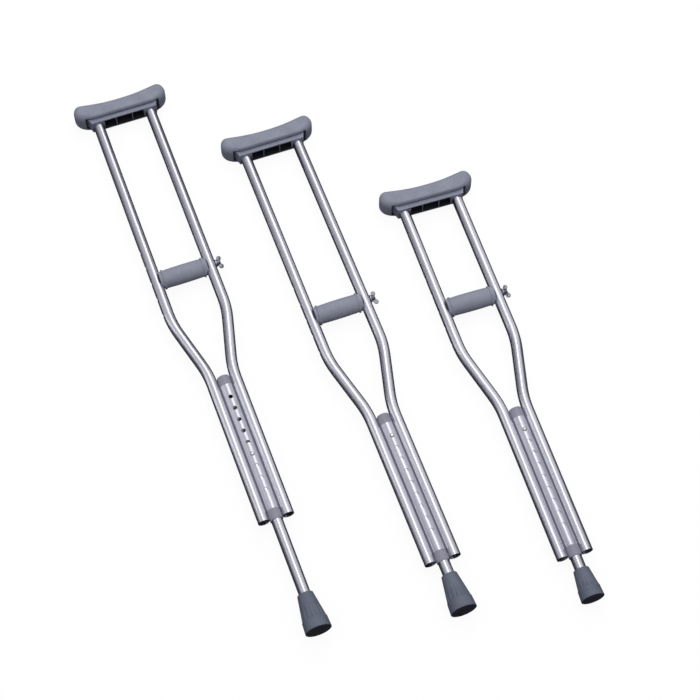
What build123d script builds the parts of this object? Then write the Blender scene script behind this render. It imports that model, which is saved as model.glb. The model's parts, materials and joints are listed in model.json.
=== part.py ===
from build123d import *
import math
import os
from dataclasses import dataclass

# Three underarm crutches lying on the floor: two of the adult size, one of them drawn out, and a youth one.
# Every piece is first made in its own crutch's frame, in millimetres: X across the crutch, Y along it
# towards the underarm pad, Z out of its front, with the origin on the axis beside the top height hole.
# Each crutch is then laid in its place, and the set is centred on the floor under it, +Z up.

# Aluminium tubes
UPRIGHT_OD = 22.2
UPRIGHT_WALL = 1.2
CENTRE_TUBE_WALL = 1.52
LEG_OD = 22.2
LEG_WALL = 1.2
RUNNING_GAP = 0.08  # radial, between pieces that slide or turn in each other
SEAT_GAP = 0.05  # between pieces that are fixed together
SOFT_GAP = 0.3  # between a soft piece and what it sits on

# The bow: both uprights bend outwards above the centre tube
UPRIGHT_HIGH_X = 55.7  # half the distance between the uprights where the handgrip sits
UPRIGHT_BELOW_EXTRUSION = 17.3  # how far down the collar the uprights reach
BEND_LOW_Y = 66.0  # where the centre lines of the straight runs would meet
BEND_HIGH_Y = 194.0
BEND_RADIUS = 200.0

# Centre extrusion: a tube with a web each side that cradles the uprights
EXTRUSION_TOP_Y = 28.7
EXTRUSION_BELOW_HOLES = 40.5
WEB_SHORT_OF_UPRIGHT = 6.45  # from a web's edge, before it is hollowed, to the axis of its upright
WEB_HALF_Z = 5.5
HOLE_PITCH = 25.4
HOLE_COUNT = 9
HOLE_DIA = 8.4
END_SLEEVE_LENGTH = 21.0  # the plastic cap above the extrusion, and the collar below it
CAP_SPIGOT_LENGTH = 2.8
RIVET_DIA = 3.2
RIVET_HEAD_DIA = 6.0
RIVET_HEAD_HEIGHT = 1.2
RIVET_ACCESS_DIA = RIVET_HEAD_DIA + 0.6
RIVET_END_INSET = 10.0  # from a sleeve's outer end to its rivets

# Telescopic leg and its snap button
LEG_ABOVE_BUTTON = 25.0
BUTTON_PROUD = 2.0
BUTTON_FLANGE_DIA = HOLE_DIA + 2.0
BUTTON_FLANGE_HEIGHT = 1.2
SPRING_THICKNESS = 0.6
SPRING_WIDTH = 8.0
SPRING_BELOW_BUTTON = 7.0
SPRING_ABOVE_BUTTON = 14.0

# Rubber tip
TIP_SOLE = 16.0  # solid rubber under the steel disc
TIP_DISC_HEIGHT = 1.6
TIP_BAND_HEIGHT = 21.0
TIP_BAND_TAPER = 1.2  # how much narrower the band's upper edge is
TIP_SHOULDER_STEP = 0.8
TIP_MOUTH_DIA = LEG_OD + 7.8

# Handgrip, its long bolt and wing nut
GRIP_HOLE_PITCH = 38.1
GRIP_HOLES_EACH_WAY = 2
LOWEST_HOLE_ABOVE_BEND = 26.8
GRIP_DIA = 38.0
GRIP_END_DIA = GRIP_DIA - 1.6
GRIP_BEAD_DIA = GRIP_DIA + 2.6
GRIP_NECK_DIA = GRIP_DIA - 3.0
GRIP_BEAD_SHORT = 4.1  # from the bead to the upright's nearest side
GRIP_WRAP = 3.9  # how far the foam's hollowed ends reach round an upright
CORE_DIA = GRIP_DIA - 12.0
CORE_WRAP = 5.4
BOLT_DIA = 6.35
BOLT_HOLE_DIA = 6.8
BOLT_HEAD_DIA = 10.4
BOLT_HEAD_HEIGHT = 3.2
BOLT_ACCESS_DIA = BOLT_HEAD_DIA + 0.8
BOLT_PAST_NUT = 1.0
WASHER_DIA = 16.0
WASHER_HEIGHT = 1.2
NUT_HUB_DIA = 13.0
NUT_HUB_TOP_DIA = 10.5
NUT_HUB_HEIGHT = 8.0
NUT_EAR_RADIUS = 4.6
NUT_EAR_X = 8.0  # from the washer to the middle of an ear's rounded end
NUT_EAR_Y = 9.6
NUT_EAR_THICKNESS = 2.4
NUT_EAR_DISH = 0.4

# Saddle: the plastic bridge that the uprights end in
SADDLE_END_REACH = 9.2  # past the outer sides of the uprights, at the top
SADDLE_BOTTOM_REACH = 1.7
SADDLE_BEVEL_HEIGHT = 20.0
SADDLE_HEIGHT = 26.0
SADDLE_DEPTH = UPRIGHT_OD + 7.8
SADDLE_ROOF = 4.0
SADDLE_WALL = 2.8
SADDLE_SOCKET_WALL = 2.6
SADDLE_RIB_X = 17.3
SADDLE_RIB_THICKNESS = 1.6
SCREW_DIA = 3.8
SCREW_HEAD_DIA = 7.0
SCREW_HEAD_HEIGHT = 2.0
SCREW_Y = 16.0  # above the saddle's bottom
SCREW_REACH = 7.0  # from the saddle's face to the screw's end

# Underarm pad, heights above the saddle's bottom and lengths back from the pad's end
PAD_PAST_SADDLE = 22.0
PAD_DEPTH = SADDLE_DEPTH + 20.0
PAD_LIP_Y = 8.0
PAD_MIDDLE_TOP_Y = SADDLE_HEIGHT + 17.5
PAD_END_TOP_Y = SADDLE_HEIGHT + 26.0
PAD_CORNER = 15.0
PAD_NOSE_Y = SADDLE_HEIGHT + 6.0
PAD_CHIN_BACK = 6.0
PAD_CHIN_Y = 19.0
PAD_HEEL_BACK = 16.0
PAD_HEEL_Y = 11.5
PAD_LIP_END_BACK = 32.0
PAD_POCKET_END_GAP = 2.5
PAD_CROWN_FILLET = 13.0

UPRIGHT_R = UPRIGHT_OD / 2
UPRIGHT_BORE_R = UPRIGHT_R - UPRIGHT_WALL
LEG_R = LEG_OD / 2
LEG_BORE_R = LEG_R - LEG_WALL
EXTRUSION_BORE_R = LEG_R + RUNNING_GAP
CENTRE_R = EXTRUSION_BORE_R + CENTRE_TUBE_WALL
CENTRE_TUBE_OD = 2 * CENTRE_R
UPRIGHT_LOW_X = CENTRE_R + UPRIGHT_R + SEAT_GAP
WEB_HALF_X = UPRIGHT_LOW_X - WEB_SHORT_OF_UPRIGHT
INNER_X = UPRIGHT_HIGH_X - UPRIGHT_R  # inner side of the right upright, where the handgrip bears
SEAT_X = UPRIGHT_HIGH_X + UPRIGHT_R  # outer side of the right upright, where the washer bears
GRIP_BEAD_X = INNER_X - GRIP_BEAD_SHORT
GRIP_HALF_LENGTH = INNER_X + GRIP_WRAP
CORE_HALF_LENGTH = INNER_X + CORE_WRAP
WASHER_X = SEAT_X + SEAT_GAP
NUT_X = WASHER_X + WASHER_HEIGHT + SEAT_GAP
SADDLE_HALF_LENGTH = SEAT_X + SADDLE_END_REACH
SADDLE_HALF_BOTTOM = SEAT_X + SADDLE_BOTTOM_REACH
PAD_HALF_LENGTH = SADDLE_HALF_LENGTH + PAD_PAST_SADDLE
PAD_END_TOP_X = PAD_HALF_LENGTH - PAD_CORNER
EXTRUSION_BOTTOM_Y = -HOLE_PITCH * (HOLE_COUNT - 1) - EXTRUSION_BELOW_HOLES
UPRIGHT_BOTTOM_Y = EXTRUSION_BOTTOM_Y - UPRIGHT_BELOW_EXTRUSION
CAP_TOP_Y = EXTRUSION_TOP_Y + END_SLEEVE_LENGTH
COLLAR_BOTTOM_Y = EXTRUSION_BOTTOM_Y - END_SLEEVE_LENGTH
RIVET_YS = (
    CAP_TOP_Y - RIVET_END_INSET,
    -HOLE_PITCH / 2,
    -HOLE_PITCH * (HOLE_COUNT - 0.5),
    COLLAR_BOTTOM_Y + RIVET_END_INSET,
)
GRIP_Y = BEND_HIGH_Y + LOWEST_HOLE_ABOVE_BEND + GRIP_HOLE_PITCH * GRIP_HOLES_EACH_WAY
GRIP_HOLE_YS = tuple(
    GRIP_Y + GRIP_HOLE_PITCH * k for k in range(-GRIP_HOLES_EACH_WAY, GRIP_HOLES_EACH_WAY + 1)
)


@dataclass
class Crutch:
    """One crutch of the set: its sizes, the height hole its button is in, and where it lies."""

    name: str
    saddle_y: float
    leg_showing: float
    button_hole: int
    tip_length: float
    tip_base_dia: float
    x: float
    y: float
    turn: float  # degrees about +Z

    @property
    def upright_top_y(self):
        return self.saddle_y + SADDLE_HEIGHT - SADDLE_ROOF

    @property
    def button_y(self):
        return -HOLE_PITCH * (self.button_hole - 1)

    @property
    def leg_top_y(self):
        return self.button_y + LEG_ABOVE_BUTTON

    @property
    def leg_length(self):
        """Long enough to show this much below the collar with the button in the top hole."""
        return LEG_ABOVE_BUTTON - COLLAR_BOTTOM_Y + self.leg_showing

    @property
    def leg_bottom_y(self):
        return self.leg_top_y - self.leg_length

    @property
    def tip_base_y(self):
        return self.leg_bottom_y - TIP_DISC_HEIGHT - TIP_SOLE

    def place(self):
        """Lays the crutch on the floor, on the side of its pad and the edge of its tip."""
        pad_y = self.saddle_y + PAD_LIP_Y
        rise = (PAD_DEPTH - self.tip_base_dia) / 2
        tilt = math.atan2(rise, pad_y - self.tip_base_y)
        height = PAD_DEPTH / 2 * math.cos(tilt) - pad_y * math.sin(tilt)
        return Pos(self.x, self.y, height) * Rot(0, 0, self.turn) * Rot(math.degrees(tilt), 0, 0)


ADULT_SADDLE_Y = 696.0
YOUTH_SADDLE_Y = 531.0
ADULT_LEG_SHOWING = 81.2
YOUTH_LEG_SHOWING = 66.7
CRUTCHES = (
    Crutch("tall", ADULT_SADDLE_Y, ADULT_LEG_SHOWING, 6, 72.5, 50.0, -259.1, 181.1, 0.22),
    Crutch("adult", ADULT_SADDLE_Y, ADULT_LEG_SHOWING, 1, 72.5, 50.0, -1.4, 0.0, 0.0),
    Crutch("youth", YOUTH_SADDLE_Y, YOUTH_LEG_SHOWING, 1, 58.5, 44.5, 236.8, -72.4, -2.01),
)


def bar_x(radius, low, high, y=0.0, z=0.0):
    """A round bar across the crutch, from X low to X high."""
    return Pos((low + high) / 2, y, z) * Rot(0, 90, 0) * Cylinder(radius, high - low)


def bar_y(radius, low, high, x=0.0, z=0.0):
    """A round bar along the crutch, from Y low to Y high."""
    return Pos(x, (low + high) / 2, z) * Rot(90, 0, 0) * Cylinder(radius, high - low)


def bar_z(radius, low, high, x=0.0, y=0.0):
    """A round bar through the crutch's front, from Z low to Z high."""
    return Pos(x, y, (low + high) / 2) * Cylinder(radius, high - low)


def block(half_x, low_y, high_y, half_z, x=0.0):
    """A box, even about its own x and about Z 0."""
    return Pos(x, (low_y + high_y) / 2, 0) * Box(2 * half_x, high_y - low_y, 2 * half_z)


def sag(radius, half_width):
    """Height of a round surface above its axis, at half_width to the side."""
    return math.sqrt(radius**2 - half_width**2)


def upright_line(crutch, side):
    """Centre line of one upright, bottom to top."""
    return FilletPolyline(
        (side * UPRIGHT_LOW_X, UPRIGHT_BOTTOM_Y),
        (side * UPRIGHT_LOW_X, BEND_LOW_Y),
        (side * UPRIGHT_HIGH_X, BEND_HIGH_Y),
        (side * UPRIGHT_HIGH_X, crutch.upright_top_y),
        radius=BEND_RADIUS,
    )


def upright(crutch, side):
    """Bent tube with the grip's row of holes, rivet holes at the centre tube and a screw hole in the saddle."""
    line = upright_line(crutch, side)
    section = Circle(UPRIGHT_R) - Circle(UPRIGHT_BORE_R)
    tube = sweep(Plane(origin=line @ 0, z_dir=line % 0) * section, path=line)
    high_x = side * UPRIGHT_HIGH_X
    low_x = side * UPRIGHT_LOW_X
    reach = side * UPRIGHT_OD
    cuts = []
    for y in GRIP_HOLE_YS:
        cuts.append(bar_x(BOLT_HOLE_DIA / 2, high_x - UPRIGHT_OD, high_x + UPRIGHT_OD, y))
        if side < 0:
            cuts.append(bar_x(BOLT_ACCESS_DIA / 2, *sorted((high_x, high_x + reach)), y))
    for y in RIVET_YS:
        cuts.append(bar_x(RIVET_DIA / 2 + SEAT_GAP, *sorted((low_x - reach, low_x)), y))
        cuts.append(bar_x(RIVET_ACCESS_DIA / 2, *sorted((low_x, low_x + reach)), y))
    screw_y = crutch.saddle_y + SCREW_Y
    cuts.append(bar_z(SCREW_DIA / 2 + SEAT_GAP, 0, UPRIGHT_OD, high_x, screw_y))
    return tube - cuts


def centre_extrusion():
    """Aluminium extrusion that the leg slides in: a tube, a row of height holes and a web each side."""
    section = Circle(CENTRE_R) + Rectangle(2 * WEB_HALF_X, 2 * WEB_HALF_Z) - Circle(EXTRUSION_BORE_R)
    for side in (-1, 1):
        section -= Pos(side * UPRIGHT_LOW_X, 0) * Circle(UPRIGHT_R + SEAT_GAP)
    length = EXTRUSION_TOP_Y - EXTRUSION_BOTTOM_Y
    body = extrude(Plane.XZ.offset(-EXTRUSION_TOP_Y) * section, length)
    cuts = [bar_z(HOLE_DIA / 2, 0, CENTRE_TUBE_OD, 0, -HOLE_PITCH * k) for k in range(HOLE_COUNT)]
    for y in RIVET_YS:
        if EXTRUSION_BOTTOM_Y < y < EXTRUSION_TOP_Y:
            cuts.append(bar_x(RIVET_DIA / 2 + SEAT_GAP, -CENTRE_TUBE_OD, CENTRE_TUBE_OD, y))
    return body - cuts


def rivet_root_x(y):
    """How near the axis a rivet's end comes: flush in the extrusion, deeper in the solid cap."""
    return EXTRUSION_BORE_R + LEG_WALL / 4 if y < EXTRUSION_TOP_Y else CENTRE_R / 2


def frame_rivets():
    """Rivets that fix both uprights to the cap, the extrusion and the collar, set through holes in the outer wall."""
    head_x = UPRIGHT_LOW_X - sag(UPRIGHT_BORE_R, RIVET_HEAD_DIA / 2)
    rivets = []
    for y in RIVET_YS:
        shank = bar_x(RIVET_DIA / 2, rivet_root_x(y), head_x, y)
        head = bar_x(RIVET_HEAD_DIA / 2, head_x, head_x + RIVET_HEAD_HEIGHT, y)
        rivet = shank + head
        rivets += [rivet, mirror(rivet, about=Plane.YZ)]
    return Compound(children=rivets)


def top_cap():
    """Plastic plug over the extrusion's top end, held between the uprights."""
    body = bar_y(CENTRE_R, EXTRUSION_TOP_Y, CAP_TOP_Y)
    body = fillet(body.edges().sort_by(Axis.Y)[-1], 2.0)
    body += bar_y(EXTRUSION_BORE_R - SEAT_GAP, EXTRUSION_TOP_Y - CAP_SPIGOT_LENGTH, EXTRUSION_TOP_Y)
    y = RIVET_YS[0]
    for side in (-1, 1):
        low, high = sorted((side * rivet_root_x(y), side * CENTRE_TUBE_OD))
        body -= bar_x(RIVET_DIA / 2 + SEAT_GAP, low, high, y)
    return body


def bottom_collar():
    """Plastic bush below the extrusion that guides the leg."""
    body = bar_y(CENTRE_R, COLLAR_BOTTOM_Y, EXTRUSION_BOTTOM_Y)
    body = fillet(body.edges().sort_by(Axis.Y)[0], 0.8)
    body -= bar_y(EXTRUSION_BORE_R, COLLAR_BOTTOM_Y - 1, EXTRUSION_BOTTOM_Y + 1)
    return body - bar_x(RIVET_DIA / 2 + SEAT_GAP, -CENTRE_TUBE_OD, CENTRE_TUBE_OD, RIVET_YS[-1])


def leg(crutch):
    """Inner tube that sets the crutch's height, with a hole for the snap button."""
    tube = bar_y(LEG_R, crutch.leg_bottom_y, crutch.leg_top_y)
    tube -= bar_y(LEG_BORE_R, crutch.leg_bottom_y - 1, crutch.leg_top_y + 1)
    return tube - bar_z(HOLE_DIA / 2, 0, LEG_OD, 0, crutch.button_y)


def spring_top_z():
    """Height of the leaf spring's front face, under the button's flange."""
    return sag(LEG_BORE_R, BUTTON_FLANGE_DIA / 2) - BUTTON_FLANGE_HEIGHT - SEAT_GAP


def snap_button(crutch):
    """Domed steel button with a flange that stops it inside the leg."""
    radius = HOLE_DIA / 2 - RUNNING_GAP
    floor_z = spring_top_z()
    tip_z = CENTRE_R + BUTTON_PROUD
    pin = bar_z(radius, floor_z, tip_z)
    pin = fillet(pin.edges().sort_by(Axis.Z)[-1], 2.4)
    flange = bar_z(BUTTON_FLANGE_DIA / 2, floor_z, floor_z + BUTTON_FLANGE_HEIGHT)
    return Pos(0, crutch.button_y, 0) * (pin + flange)


def button_spring(crutch):
    """Leaf spring bent into a U inside the leg: one arm carries the button, the other rests on the far wall."""
    front_z = spring_top_z() - SPRING_THICKNESS / 2
    back_z = -sag(LEG_BORE_R, SPRING_WIDTH / 2) + SEAT_GAP + SPRING_THICKNESS / 2
    bend_r = (front_z - back_z) / 2
    middle_z = (front_z + back_z) / 2
    arm_length = SPRING_BELOW_BUTTON + SPRING_ABOVE_BUTTON
    arm_middle = (SPRING_ABOVE_BUTTON - SPRING_BELOW_BUTTON) / 2
    bend_end = bend_r + SPRING_THICKNESS
    ring = Circle(bend_r + SPRING_THICKNESS / 2) - Circle(bend_r - SPRING_THICKNESS / 2)
    bend = Pos(SPRING_ABOVE_BUTTON, middle_z) * (ring & Pos(bend_end / 2, 0) * Rectangle(bend_end, 2 * bend_end))
    front = Pos(arm_middle, front_z) * Rectangle(arm_length, SPRING_THICKNESS)
    back = Pos(arm_middle, back_z) * Rectangle(arm_length, SPRING_THICKNESS)
    strip = extrude(Plane.YZ * (bend + front + back), SPRING_WIDTH / 2, both=True)
    return Pos(0, crutch.button_y, 0) * strip


def tip(crutch):
    """Flared rubber foot with a socket for the leg."""
    base_r = crutch.tip_base_dia / 2
    band_r = base_r - TIP_BAND_TAPER
    outline = Polyline(
        (0, 0),
        (base_r, 0),
        (band_r, TIP_BAND_HEIGHT),
        (band_r - TIP_SHOULDER_STEP, TIP_BAND_HEIGHT + TIP_SHOULDER_STEP),
        (TIP_MOUTH_DIA / 2, crutch.tip_length),
        (0, crutch.tip_length),
        close=True,
    )
    rubber = revolve(make_face(outline), Axis.Y)
    rubber -= bar_y(LEG_R + SEAT_GAP, TIP_SOLE, crutch.tip_length + 1)
    return Pos(0, crutch.tip_base_y, 0) * rubber


def tip_disc(crutch):
    """Steel disc that keeps the leg's end from cutting through the rubber."""
    low = crutch.tip_base_y + TIP_SOLE
    return bar_y(LEG_R - SEAT_GAP, low, low + TIP_DISC_HEIGHT)


def seat_cuts(clearance):
    """The two uprights as plain bars, for hollowing what seats against them."""
    low = GRIP_Y - GRIP_BEAD_DIA
    high = GRIP_Y + GRIP_BEAD_DIA
    return [bar_y(UPRIGHT_R + clearance, low, high, side * UPRIGHT_HIGH_X) for side in (-1, 1)]


def grip_core():
    """Hard plastic tube inside the handgrip, with hollowed ends that seat on the uprights."""
    core = bar_x(CORE_DIA / 2, -CORE_HALF_LENGTH, CORE_HALF_LENGTH, GRIP_Y)
    core -= bar_x(BOLT_HOLE_DIA / 2, -CORE_HALF_LENGTH - 1, CORE_HALF_LENGTH + 1, GRIP_Y)
    return core - seat_cuts(SEAT_GAP)


def handgrip():
    """Foam sleeve: a slight barrel with a raised bead and a narrower neck at each end."""
    neck_x = GRIP_BEAD_X + 1.6
    bead_start = GRIP_BEAD_X - 2.2
    right = [
        (bead_start, GRIP_END_DIA / 2),
        (GRIP_BEAD_X, GRIP_BEAD_DIA / 2),
        (neck_x, GRIP_NECK_DIA / 2),
        (GRIP_HALF_LENGTH, GRIP_NECK_DIA / 2),
    ]
    left = [(-x, r) for x, r in reversed(right)]
    barrel = ThreePointArc(left[-1], (0, GRIP_DIA / 2), right[0])
    ends = Polyline(*right, (GRIP_HALF_LENGTH, 0), (-GRIP_HALF_LENGTH, 0), *left)
    sleeve = revolve(make_face(barrel + ends), Axis.X)
    sleeve -= bar_x(CORE_DIA / 2 + SEAT_GAP, -GRIP_HALF_LENGTH - 1, GRIP_HALF_LENGTH + 1)
    return Pos(0, GRIP_Y, 0) * sleeve - seat_cuts(SOFT_GAP)


def grip_bolt():
    """Long bolt through both uprights and the handgrip; its head sits inside the left upright."""
    head_x = -UPRIGHT_HIGH_X + sag(UPRIGHT_BORE_R, BOLT_HEAD_DIA / 2)
    end_x = NUT_X + NUT_HUB_HEIGHT + BOLT_PAST_NUT
    head = bar_x(BOLT_HEAD_DIA / 2, head_x - BOLT_HEAD_HEIGHT, head_x, GRIP_Y)
    head = fillet(head.edges().sort_by(Axis.X)[0], BOLT_HEAD_HEIGHT * 0.6)
    shank = bar_x(BOLT_DIA / 2, head_x, end_x, GRIP_Y)
    shank = chamfer(shank.edges().sort_by(Axis.X)[-1], 0.7)
    return head + shank


def grip_washer():
    """Flat washer between the right upright and the wing nut."""
    washer = bar_x(WASHER_DIA / 2, WASHER_X, WASHER_X + WASHER_HEIGHT, GRIP_Y)
    return washer - bar_x(BOLT_DIA / 2 + RUNNING_GAP, WASHER_X - 1, WASHER_X + WASHER_HEIGHT + 1, GRIP_Y)


def nut_ear():
    """One rounded, dished ear of the wing nut, on the +Y side, with the nut's seat at X 0."""
    rim = Pos(NUT_EAR_X, NUT_EAR_Y) * Circle(NUT_EAR_RADIUS)
    root = Pos(NUT_HUB_HEIGHT / 2, 2.5) * Circle(3.0)
    outline = make_hull(rim.edges() + root.edges())
    ear = extrude(outline, NUT_EAR_THICKNESS / 2, both=True)
    for side in (-1, 1):
        face_z = side * NUT_EAR_THICKNESS / 2
        low, high = sorted((face_z - side * NUT_EAR_DISH, face_z + side))
        ear -= bar_z(NUT_EAR_RADIUS - 1.3, low, high, NUT_EAR_X, NUT_EAR_Y)
    return ear


def wing_nut():
    """Wing nut on the bolt's threaded end, both ears in the crutch's plane."""
    hub = Rot(0, 90, 0) * Cone(
        NUT_HUB_DIA / 2, NUT_HUB_TOP_DIA / 2, NUT_HUB_HEIGHT, align=(Align.CENTER, Align.CENTER, Align.MIN)
    )
    ear = nut_ear()
    nut = hub + ear + mirror(ear, about=Plane.XZ)
    nut -= bar_x(BOLT_DIA / 2 + RUNNING_GAP, -1, NUT_EAR_X + NUT_EAR_RADIUS)
    return Pos(NUT_X, GRIP_Y, 0) * nut


def saddle(crutch):
    """Plastic bridge: a socket for each upright and three open cells between them, parted by ribs."""
    half_depth = SADDLE_DEPTH / 2
    outline = Polyline(
        (-SADDLE_HALF_BOTTOM, 0),
        (SADDLE_HALF_BOTTOM, 0),
        (SADDLE_HALF_LENGTH, SADDLE_BEVEL_HEIGHT),
        (SADDLE_HALF_LENGTH, SADDLE_HEIGHT),
        (-SADDLE_HALF_LENGTH, SADDLE_HEIGHT),
        (-SADDLE_HALF_LENGTH, SADDLE_BEVEL_HEIGHT),
        close=True,
    )
    body = extrude(make_face(outline), half_depth, both=True)
    socket_r = UPRIGHT_R + SEAT_GAP
    socket_y = SADDLE_HEIGHT - SADDLE_ROOF
    cell_half = UPRIGHT_HIGH_X - socket_r - SADDLE_SOCKET_WALL
    cells = block(cell_half, -1, socket_y, half_depth - SADDLE_WALL)
    cells -= [block(SADDLE_RIB_THICKNESS / 2, -2, socket_y, half_depth, s * SADDLE_RIB_X) for s in (-1, 1)]
    body -= cells
    for side in (-1, 1):
        x = side * UPRIGHT_HIGH_X
        body -= bar_y(socket_r, -1, socket_y, x)
        body -= bar_z(SCREW_DIA / 2 + SEAT_GAP, 0, half_depth + 1, x, SCREW_Y)
        body -= bar_z(SCREW_HEAD_DIA / 2 + SEAT_GAP, half_depth - SCREW_HEAD_HEIGHT - SEAT_GAP, half_depth + 1, x, SCREW_Y)
    return Pos(0, crutch.saddle_y, 0) * body


def saddle_screws(crutch):
    """Two screws through the saddle's front wall into the uprights, hidden by the pad's lip."""
    face_z = SADDLE_DEPTH / 2 - SEAT_GAP
    screws = []
    for side in (-1, 1):
        x = side * UPRIGHT_HIGH_X
        y = crutch.saddle_y + SCREW_Y
        head = bar_z(SCREW_HEAD_DIA / 2, face_z - SCREW_HEAD_HEIGHT, face_z, x, y)
        screws.append(head + bar_z(SCREW_DIA / 2, face_z - SCREW_REACH, face_z - SCREW_HEAD_HEIGHT, x, y))
    return Compound(children=screws)


def underarm_pad(crutch):
    """Soft pad with a dipped top and rounded ends, hollow underneath where the saddle goes in."""
    half_depth = PAD_DEPTH / 2
    pocket_half = SADDLE_HALF_LENGTH + PAD_POCKET_END_GAP
    end = PAD_HALF_LENGTH
    right = [
        (end, PAD_NOSE_Y),
        (end - PAD_CHIN_BACK, PAD_CHIN_Y),
        (end - PAD_HEEL_BACK, PAD_HEEL_Y),
        (end - PAD_LIP_END_BACK, PAD_LIP_Y),
    ]
    left = [(-x, y) for x, y in reversed(right)]
    top = ThreePointArc((-PAD_END_TOP_X, PAD_END_TOP_Y), (0, PAD_MIDDLE_TOP_Y), (PAD_END_TOP_X, PAD_END_TOP_Y))
    noses = [
        ThreePointArc(
            (s * PAD_END_TOP_X, PAD_END_TOP_Y),
            (s * (PAD_END_TOP_X + PAD_CORNER * 0.76), PAD_END_TOP_Y - PAD_CORNER * 0.42),
            (s * PAD_HALF_LENGTH, PAD_NOSE_Y),
        )
        for s in (-1, 1)
    ]
    outline = top + noses + Polyline(*right, *left)
    pad = extrude(make_face(outline), half_depth, both=True)
    crown = [e for e in pad.edges() if abs(abs(e.center().Z) - half_depth) < 0.01 and e.center().Y > PAD_NOSE_Y]
    pad = fillet(crown, PAD_CROWN_FILLET)
    pad -= block(pocket_half, -1, SADDLE_HEIGHT + SOFT_GAP, SADDLE_DEPTH / 2 + SOFT_GAP)
    return Pos(0, crutch.saddle_y, 0) * pad


def pieces(crutch):
    """Every piece of one crutch, in that crutch's own frame."""
    return {
        "underarm_pad": underarm_pad(crutch),
        "saddle": saddle(crutch),
        "saddle_screws": saddle_screws(crutch),
        "upright_left": upright(crutch, -1),
        "upright_right": upright(crutch, 1),
        "handgrip": handgrip(),
        "grip_core": grip_core(),
        "grip_bolt": grip_bolt(),
        "grip_washer": grip_washer(),
        "wing_nut": wing_nut(),
        "centre_extrusion": centre_extrusion(),
        "frame_rivets": frame_rivets(),
        "top_cap": top_cap(),
        "bottom_collar": bottom_collar(),
        "leg": leg(crutch),
        "snap_button": snap_button(crutch),
        "button_spring": button_spring(crutch),
        "tip": tip(crutch),
        "tip_disc": tip_disc(crutch),
    }


def set_centre(nodes):
    """Moves the set so that the origin is on the floor under the middle of its box."""
    boxes = [shape.bounding_box() for shape in nodes.values()]
    low_x = min(box.min.X for box in boxes)
    high_x = max(box.max.X for box in boxes)
    low_y = min(box.min.Y for box in boxes)
    high_y = max(box.max.Y for box in boxes)
    return Pos(-(low_x + high_x) / 2, -(low_y + high_y) / 2, 0)


def build():
    """All pieces of all crutches in the set's frame, and the location that centres the set."""
    laid = {}
    for crutch in CRUTCHES:
        for piece, shape in pieces(crutch).items():
            laid[f"{crutch.name}_{piece}"] = crutch.place() * shape
    centre = set_centre(laid)
    return {name: centre * shape for name, shape in laid.items()}, centre


def main():
    os.makedirs("parts", exist_ok=True)
    nodes, _ = build()
    for name, shape in nodes.items():
        export_step(shape, f"parts/{name}.step")
        print(name, round(shape.volume, 1))


if __name__ == "__main__":
    main()
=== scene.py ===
# %% [markdown]
# # Underarm crutches
# Three aluminium crutches lie on a studio floor: an adult one drawn out, an adult one closed and a
# youth one. The CAD frame holds every tube, hole and bolt. The work here is the soft pieces (underarm
# pads, handgrips and rubber tips), the finish of every surface, the light and the camera.

# %% Load the frame
import json
import math

import bmesh
import bpy
from mathutils import Euler, Matrix, Vector


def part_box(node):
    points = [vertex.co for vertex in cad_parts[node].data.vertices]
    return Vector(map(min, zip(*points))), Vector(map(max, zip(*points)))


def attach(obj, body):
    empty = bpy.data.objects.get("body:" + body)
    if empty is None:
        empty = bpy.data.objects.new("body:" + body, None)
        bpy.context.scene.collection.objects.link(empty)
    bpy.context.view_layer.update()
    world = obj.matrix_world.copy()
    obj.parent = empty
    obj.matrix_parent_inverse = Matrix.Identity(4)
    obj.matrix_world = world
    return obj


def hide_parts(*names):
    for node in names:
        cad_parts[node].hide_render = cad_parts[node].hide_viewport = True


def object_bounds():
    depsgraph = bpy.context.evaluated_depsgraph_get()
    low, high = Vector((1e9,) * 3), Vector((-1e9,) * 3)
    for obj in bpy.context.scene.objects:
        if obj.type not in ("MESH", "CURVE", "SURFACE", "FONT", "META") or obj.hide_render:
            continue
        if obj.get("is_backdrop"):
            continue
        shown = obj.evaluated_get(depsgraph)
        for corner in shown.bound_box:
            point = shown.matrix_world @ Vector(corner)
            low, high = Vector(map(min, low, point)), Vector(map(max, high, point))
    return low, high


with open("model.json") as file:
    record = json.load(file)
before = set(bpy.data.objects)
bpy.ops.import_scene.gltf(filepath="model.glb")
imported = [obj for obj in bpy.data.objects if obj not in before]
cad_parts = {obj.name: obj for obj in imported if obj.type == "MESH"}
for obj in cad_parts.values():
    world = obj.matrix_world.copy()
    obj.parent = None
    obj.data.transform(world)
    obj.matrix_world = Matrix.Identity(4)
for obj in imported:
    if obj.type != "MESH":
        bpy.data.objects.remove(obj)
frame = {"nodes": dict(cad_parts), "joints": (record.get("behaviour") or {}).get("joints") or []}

cad_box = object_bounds()
MM = 0.001
CRUTCHES = ("tall", "adult", "youth")
JOINTS = {joint["name"]: joint for joint in frame["joints"]}

# %% [markdown]
# ## Each crutch's own frame
# The crutches don't lie quite parallel, so their pieces are easier to model in a frame of their own,
# with X across the crutch, Y towards the pad and Z out of its front. The joints already state these
# directions, and the handgrip's core gives a place to start from.


# %% Crutch frames
def crutch_frame(name):
    """Matrix of one crutch, with its origin in the middle of the handgrip."""
    across = Vector(JOINTS[f"{name}_washer_advance"]["axis"])
    along = -Vector(JOINTS[f"{name}_leg_slide"]["axis"])
    outward = -Vector(JOINTS[f"{name}_button_press"]["axis"])
    low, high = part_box(f"{name}_grip_core")
    turn = Matrix((across, along, outward)).transposed().to_4x4()
    return Matrix.Translation((low + high) / 2) @ turn


def own_box(node, place):
    """Lowest and highest corner of a CAD node, measured in its crutch's frame."""
    inward = place.inverted()
    points = [inward @ vertex.co for vertex in frame["nodes"][node].data.vertices]
    low = Vector([min(point[axis] for point in points) for axis in range(3)])
    high = Vector([max(point[axis] for point in points) for axis in range(3)])
    return low, high


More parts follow.
